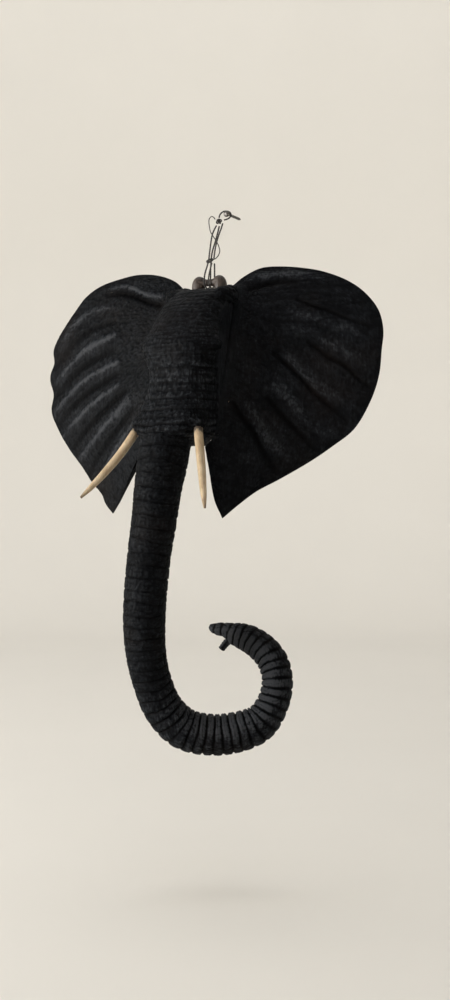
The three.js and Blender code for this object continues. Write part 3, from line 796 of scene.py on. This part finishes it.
def ear_mesh(name, side):
    outline = ear_outline(side)
    share = root_share()
    (top_d, top_z), (bottom_d, bottom_z) = EAR_ROOT["top"], EAR_ROOT["bottom"]
    count = len(outline)
    root = np.stack(
        [
            np.full(count, side["sign"] * (SEAT + EAR_GAP)),
            -(top_d + (bottom_d - top_d) * share),
            top_z + (bottom_z - top_z) * share,
        ],
        -1,
    ) * MM
    # rows close up towards the rim, where the edge turns over
    s = np.concatenate([np.linspace(0, 0.955, EAR_ROWS - 10), 1 - 0.045 * np.linspace(1, 0, 11)[1:] ** 2])
    grid_s = np.broadcast_to(s, (count, len(s)))
    middle = root[:, None] + (outline - root)[:, None] * s[None, :, None]
    middle[..., 1] = root[:, None, 1] + (outline - root)[:, None, 1] * s**1.5
    thickness = EDGE_THICKNESS + (ROOT_THICKNESS - EDGE_THICKNESS) * (1 - grid_s) ** 2.2
    reach = np.linalg.norm(outline - root, axis=1)[:, None] / MM
    to_rim = (1 - grid_s) * reach
    turned = np.clip(to_rim / 3.0, 0, 1)
    thickness = thickness * (0.25 + 0.75 * np.sqrt(1 - (1 - turned) ** 2))
    column = np.broadcast_to(np.linspace(0, 1, count)[:, None], grid_s.shape)
    height = ear_relief(side, middle, grid_s, column)
    # the carving runs out near the root, where the dowels need the whole thickness
    settle = (0.15 + 0.85 * smoothstep(3, 24, grid_s * reach)) * smoothstep(0, 0.06, grid_s)
    settle = settle * (0.3 + 0.7 * turned)
    height = height * settle
    front = middle.copy()
    front[..., 1] -= (thickness / 2 + height) * MM
    rear = middle.copy()
    q = rear / MM
    adze = 0.5 * noise(q, (9, 9, 14), 71) - 0.35 * creases(q, (14, 14, 30), 72, 0.2)
    fold = np.where(height > 0, height, 0.55 * height) * 0.5
    rear[..., 1] += (thickness / 2 - fold + adze * settle) * MM
    rows = len(s)
    faces = grid_faces(count, rows, False)
    behind = count * rows
    faces += [[a + behind for a in reversed(face)] for face in grid_faces(count, rows, False)]
    rim = list(range(rows - 1))
    rim += [i * rows + rows - 1 for i in range(count - 1)]
    rim += [count * rows - 1 - j for j in range(rows - 1)]
    rim += [(count - 1 - i) * rows for i in range(count - 1)]
    faces += [[a, a + behind, b + behind, b] for a, b in zip(rim, rim[1:] + rim[:1])]
    points = np.vstack([front.reshape(-1, 3), rear.reshape(-1, 3)])
    points = np.clip(points, *np.array([list(corner) for corner in cad_box]))
    mesh = outward(mesh_of(name, points, faces))
    # painted light: the front takes the carved height, so its furrows get painted shade and its folds
    # rubbed wear with painted highlight; the rear takes a lower value round the adze marks, so the back
    # comes out darker than the front
    wear_and_painted_light = 0.6 + height / 5.0
    set_relief(mesh, np.concatenate([wear_and_painted_light.ravel(), 0.45 + adze.ravel() / 3]))
    return mesh


# ---------- lug ----------
LUG_LEG = 14.5
LUG_DEPTH = 62
CROWN = -102
BAR_HEIGHT = -92.5
LUG_LINE = [
    [-LUG_LEG, LUG_DEPTH, CROWN - 1, 7.4], [-LUG_LEG - 0.5, LUG_DEPTH, CROWN + 5, 8.2],
    [-LUG_LEG + 1, LUG_DEPTH, CROWN + 10.5, 7.6], [-LUG_LEG + 5.5, LUG_DEPTH, BAR_HEIGHT + 0.5, 5.8],
    [-5, LUG_DEPTH, BAR_HEIGHT, 4.6], [5, LUG_DEPTH, BAR_HEIGHT, 4.6],
    [LUG_LEG - 5.5, LUG_DEPTH, BAR_HEIGHT + 0.5, 5.8], [LUG_LEG - 1, LUG_DEPTH, CROWN + 10.5, 7.6],
    [LUG_LEG + 0.5, LUG_DEPTH, CROWN + 5, 8.2], [LUG_LEG, LUG_DEPTH, CROWN - 1, 7.4],
]


def lug_mesh():
    rows, columns = 240, 96
    line = spline(stations(LUG_LINE), rows)
    run = run_along(line)[:, None] / MM
    angle = 2 * np.pi * np.arange(columns) / columns
    place = round_place(angle, run * 0.05)
    height = -0.35 * creases(place, (0.2, 0.2, 1.4), 81, 0.3)
    height += 0.3 * noise(place, (0.7, 0.7, 0.5), 82) - 0.2
    radius = line[:, 3:] + height * MM
    mesh = tube_mesh("lug_smooth", line[:, :3], radius, (0, 1, 0), columns)
    set_relief(mesh, np.append(0.6 + height.ravel(), [0.5, 0.5]))
    return mesh


# ---------- nail ----------
NAIL_PROFILE = [
    [0, 24], [0.5, 22.6], [1.7, 18], [1.7, 6], [1.7, -8], [1.7, -14.6], [2.2, -15.2], [3.9, -15.4],
    [4, -15.8], [4, -16.6], [3.7, -17], [2.4, -17.8], [1.2, -18], [0, -18.1],
]


def nail_mesh():
    columns = 48
    profile = np.array(NAIL_PROFILE) * MM
    angle = 2 * np.pi * np.arange(columns) / columns
    rows = profile[1:-1]
    rings = np.stack(
        [rows[:, :1] * np.cos(angle), rows[:, 1:] + 0 * angle, rows[:, :1] * np.sin(angle)], -1
    )
    mesh = stack_mesh("nail_forged", rings)
    set_relief(mesh, np.full(len(mesh.vertices), 0.5))
    return mesh


# ---------- finishes ----------


class Finish:
    """A material and short ways to add nodes to it."""

    def __init__(self, name):
        self.material = bpy.data.materials.new(name)
        self.material.use_nodes = True
        self.nodes = self.material.node_tree.nodes
        self.links = self.material.node_tree.links
        self.shader = self.nodes["Principled BSDF"]
        self.place = self.nodes.new("ShaderNodeTexCoord").outputs["Object"]

    def link(self, source, target):
        self.links.new(source, target)

    def relief(self):
        node = self.nodes.new("ShaderNodeAttribute")
        node.attribute_name = "relief"
        return node.outputs["Fac"]

    def stretched(self, scale):
        node = self.nodes.new("ShaderNodeMapping")
        node.inputs["Scale"].default_value = scale
        self.link(self.place, node.inputs["Vector"])
        return node.outputs["Vector"]

    def noise(self, scale, detail=4, vector=None, roughness=0.55):
        node = self.nodes.new("ShaderNodeTexNoise")
        node.inputs["Scale"].default_value = scale
        node.inputs["Detail"].default_value = detail
        node.inputs["Roughness"].default_value = roughness
        self.link(vector or self.place, node.inputs["Vector"])
        return node.outputs["Fac"]

    def ramp(self, source, stops):
        node = self.nodes.new("ShaderNodeValToRGB")
        elements = node.color_ramp.elements
        while len(elements) < len(stops):
            elements.new(0.5)
        for element, (position, colour) in zip(elements, stops):
            element.position = position
            element.color = (*colour, 1)
        self.link(source, node.inputs["Fac"])
        return node.outputs["Color"]

    def spread(self, source, low, high, start=0.0, end=1.0):
        node = self.nodes.new("ShaderNodeMapRange")
        for key, value in (("From Min", start), ("From Max", end), ("To Min", low), ("To Max", high)):
            node.inputs[key].default_value = value
        self.link(source, node.inputs["Value"])
        return node.outputs["Result"]

    def math(self, operation, a, b):
        node = self.nodes.new("ShaderNodeMath")
        node.operation = operation
        for socket, value in zip(node.inputs, (a, b)):
            if isinstance(value, float):
                socket.default_value = value
            else:
                self.link(value, socket)
        return node.outputs["Value"]

    def mix(self, factor, a, b, blend="MIX"):
        node = self.nodes.new("ShaderNodeMix")
        node.data_type = "RGBA"
        node.blend_type = blend
        for socket, value in zip((node.inputs[0], node.inputs[6], node.inputs[7]), (factor, a, b)):
            if isinstance(value, float):
                socket.default_value = value
            elif isinstance(value, tuple):
                socket.default_value = (*value, 1)
            else:
                self.link(value, socket)
        return node.outputs[2]

    def bump(self, source, strength, distance, after=None):
        node = self.nodes.new("ShaderNodeBump")
        node.inputs["Strength"].default_value = strength
        node.inputs["Distance"].default_value = distance
        self.link(source, node.inputs["Height"])
        if after:
            self.link(after, node.inputs["Normal"])
        return node.outputs["Normal"]

    def set(self, **sockets):
        for name, value in sockets.items():
            socket = self.shader.inputs[name.replace("_", " ")]
            if isinstance(value, (int, float)):
                socket.default_value = value
            else:
                self.link(value, socket)
        return self.material


def ebonised(name, lift=1.0):
    """Black-stained hardwood, waxed: its ridges are painted grey, partly rubbed wear and partly painted
    highlight, and its cuts are painted near black as painted shade.
    """
    f = Finish(name)
    patch = f.noise(26, 3)
    grain = f.noise(420, 5, f.stretched((1, 1, 0.22)))
    # carved height plus random tone: low in the cuts, where it paints shade, and high on the ridges, where
    # it paints rubbed wear with painted highlight
    wear_and_painted_light = f.math("ADD", f.relief(), f.spread(patch, -0.06, 0.06, 0.3, 0.7))
    wear_and_painted_light = f.math("ADD", wear_and_painted_light, f.spread(grain, -0.12, 0.12, 0.25, 0.75))
    scaled = lambda r, g, b: (r * lift, g * lift, b * lift)
    # painted shade: cuts near black; ridges grey, partly rubbed wear and partly painted highlight
    colour = f.ramp(
        wear_and_painted_light,
        [
            (0.0, (0.0006, 0.0006, 0.0008)),
            (0.46, scaled(0.0020, 0.0024, 0.0031)),
            (0.64, scaled(0.0065, 0.0075, 0.0092)),
            (0.9, scaled(0.030, 0.032, 0.036)),
        ],
    )
    brown = f.spread(f.noise(9, 2), 0.0, 0.3, 0.5, 0.72)
    colour = f.mix(brown, colour, (0.012, 0.008, 0.006))
    pores = f.noise(1500, 2, f.stretched((1, 1, 0.12)))
    normal = f.bump(grain, 0.35, 0.0006)
    normal = f.bump(pores, 0.25, 0.0002, normal)
    # specular kept low: the ridges' highlight is painted into the colour instead
    return f.set(
        Base_Color=colour, Roughness=f.spread(wear_and_painted_light, 0.75, 0.5, 0.1, 0.9), Normal=normal,
        Specular_IOR_Level=0.05,
    )


def bone(name):
    """Cream bone with long drying lines and brown tips."""
    f = Finish(name)
    lines = f.noise(260, 4, f.stretched((1, 1, 0.08)))
    blotch = f.noise(60, 3)
    base = f.mix(f.spread(blotch, 0.0, 1.0, 0.35, 0.65), (0.37, 0.275, 0.17), (0.48, 0.375, 0.25))
    base = f.mix(f.spread(lines, 0.0, 0.5, 0.52, 0.72), base, (0.20, 0.13, 0.07))
    ragged = f.math("ADD", f.relief(), f.spread(lines, -0.05, 0.05, 0.3, 0.7))
    tip = f.spread(ragged, 0.0, 0.8, 0.88, 1.02)
    base = f.mix(tip, base, (0.07, 0.045, 0.03))
    root = f.spread(ragged, 0.95, 0.0, 0.19, 0.25)
    base = f.mix(root, base, (0.03, 0.02, 0.014))
    normal = f.bump(lines, 0.2, 0.0003)
    return f.set(
        Base_Color=base, Roughness=f.spread(blotch, 0.34, 0.5, 0.3, 0.7), Normal=normal,
        Subsurface_Weight=0.08, Subsurface_Scale=0.002,
    )


def bare_wood(name, dark, light, roughness):
    """Plain wood with fine grain, oiled or raw."""
    f = Finish(name)
    grain = f.noise(300, 5, f.stretched((0.25, 1, 1)))
    rings = f.noise(70, 2, f.stretched((0.3, 1, 1)))
    colour = f.mix(f.spread(grain, 0.0, 1.0, 0.3, 0.7), dark, light)
    colour = f.mix(f.spread(rings, 0.0, 0.5, 0.5, 0.7), colour, tuple(c * 0.45 for c in dark))
    normal = f.bump(grain, 0.4, 0.0004)
    return f.set(Base_Color=colour, Roughness=f.spread(grain, roughness, roughness + 0.15), Normal=normal)


def cord_finish(name, dark, light):
    """Twisted cotton cord: short fibres lie at a slant across it."""
    f = Finish(name)
    fibre = f.noise(2600, 3, f.stretched((1, 1, 0.35)))
    colour = f.mix(f.spread(fibre, 0.0, 1.0, 0.3, 0.7), dark, light)
    normal = f.bump(fibre, 0.5, 0.0002)
    return f.set(Base_Color=colour, Roughness=0.85, Normal=normal, Sheen_Weight=0.2)


def steel(name):
    f = Finish(name)
    grime = f.noise(700, 4)
    colour = f.mix(f.spread(grime, 0.0, 1.0, 0.35, 0.65), (0.16, 0.155, 0.15), (0.05, 0.04, 0.035))
    normal = f.bump(grime, 0.3, 0.0001)
    roughness = f.spread(grime, 0.32, 0.6, 0.3, 0.7)
    return f.set(Base_Color=colour, Metallic=0.9, Roughness=roughness, Normal=normal)


def wear(piece, material):
    piece.data.materials.clear()
    piece.data.materials.append(material)


def carved(name, mesh, node, finish, body="carving"):
    piece = new_object(name, mesh, body, node)
    wear(piece, finish)
    return piece


# ---------- making ----------
black = ebonised("ebonised")
carved("head_carved", head_mesh(), "head", black)
carved("trunk_carved", trunk_mesh(), "trunk", black)
for side_name, side in EARS.items():
    carved(f"ear_{side_name}_carved", ear_mesh(f"ear_{side_name}_carved", side), f"ear_{side_name}", black)
ivory_like = bone("bone")
for side_name, side in TUSKS.items():
    mesh = tusk_mesh(f"tusk_{side_name}_shaped", side)
    carved(mesh.name, mesh, f"tusk_{side_name}", ivory_like, f"{side_name}_tusk")
lug_wood = bare_wood("lug_wood", (0.022, 0.014, 0.010), (0.052, 0.034, 0.025), 0.45)
carved("lug_smooth", lug_mesh(), "hanging_lug", lug_wood)
nail_piece = new_object("nail_forged", nail_mesh(), "nail", "wall_nail")
wear(nail_piece, steel("nail_steel"))
black_cord = cord_finish("black_cord", (0.006, 0.005, 0.005), (0.035, 0.03, 0.026))
for piece in (*cords, knot, whipping):
    wear(piece, black_cord)
pegs = bare_wood("peg_wood", (0.42, 0.27, 0.14), (0.58, 0.42, 0.25), 0.6)
for node_name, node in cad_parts.items():
    if "dowel" in node_name:
        for slot in node.material_slots:
            slot.material = pegs

# ---------- stage ----------
FLOOR = -0.80
BOWL_RADIUS = 4.2
BOWL_BEND = 1.6
BOWL_HEIGHT = 6


def make_stage():
    """A pale floor that sweeps up all round into a pale wall."""
    turn = np.linspace(0, np.pi / 2, 24)
    profile = [(0.0, 0.0), (1.0, 0.0), (BOWL_RADIUS - BOWL_BEND, 0.0)]
    profile += [
        (BOWL_RADIUS - BOWL_BEND + BOWL_BEND * math.sin(a), BOWL_BEND * (1 - math.cos(a))) for a in turn[1:]
    ]
    profile.append((BOWL_RADIUS, BOWL_HEIGHT))
    columns = 96
    angle = 2 * np.pi * np.arange(columns) / columns
    rings = np.array(
        [[(r * math.cos(a), r * math.sin(a), FLOOR + h) for a in angle] for r, h in profile[1:]]
    )
    points = np.vstack([rings.reshape(-1, 3), [[0, 0, FLOOR]]])
    faces = grid_faces(len(rings), columns, True)
    faces += [[len(points) - 1, (j + 1) % columns, j] for j in range(columns)]
    floor = bpy.data.objects.new("floor", mesh_of("floor", points, faces))
    scene.collection.objects.link(floor)
    f = Finish("pale_paint")
    tone = f.noise(3, 2)
    colour = f.mix(f.spread(tone, 0.0, 1.0, 0.3, 0.7), (0.735, 0.712, 0.668), (0.745, 0.722, 0.678))
    wear(floor, f.set(Base_Color=colour, Roughness=0.9))


def area_light(name, place, target, size, power, colour):
    data = bpy.data.lights.new(name, "AREA")
    data.shape = "SQUARE"
    data.size = size
    data.energy = power
    data.color = colour
    light = bpy.data.objects.new(name, data)
    light.location = place
    light.rotation_euler = (Vector(target) - Vector(place)).to_track_quat("-Z", "Y").to_euler()
    scene.collection.objects.link(light)


def make_lights():
    middle = (0, -0.09, -0.32)
    area_light("window", (-2.1, -2.2, -0.15), middle, 1.3, 135, (1.0, 0.985, 0.95))
    area_light("fill", (2.6, -2.6, 1.4), middle, 2.4, 5, (0.95, 0.97, 1.0))
    area_light("rear", (-0.9, 0.9, 4.4), (-2.6, 3.0, -0.2), 3.0, 70, (1.0, 0.99, 0.97))
    world = bpy.data.worlds.new("world")
    world.use_nodes = True
    background = world.node_tree.nodes["Background"]
    background.inputs["Color"].default_value = (0.93, 0.94, 0.96, 1)
    background.inputs["Strength"].default_value = 0.5
    scene.world = world
    scene.view_settings.view_transform = "Standard"


make_stage()
make_lights()

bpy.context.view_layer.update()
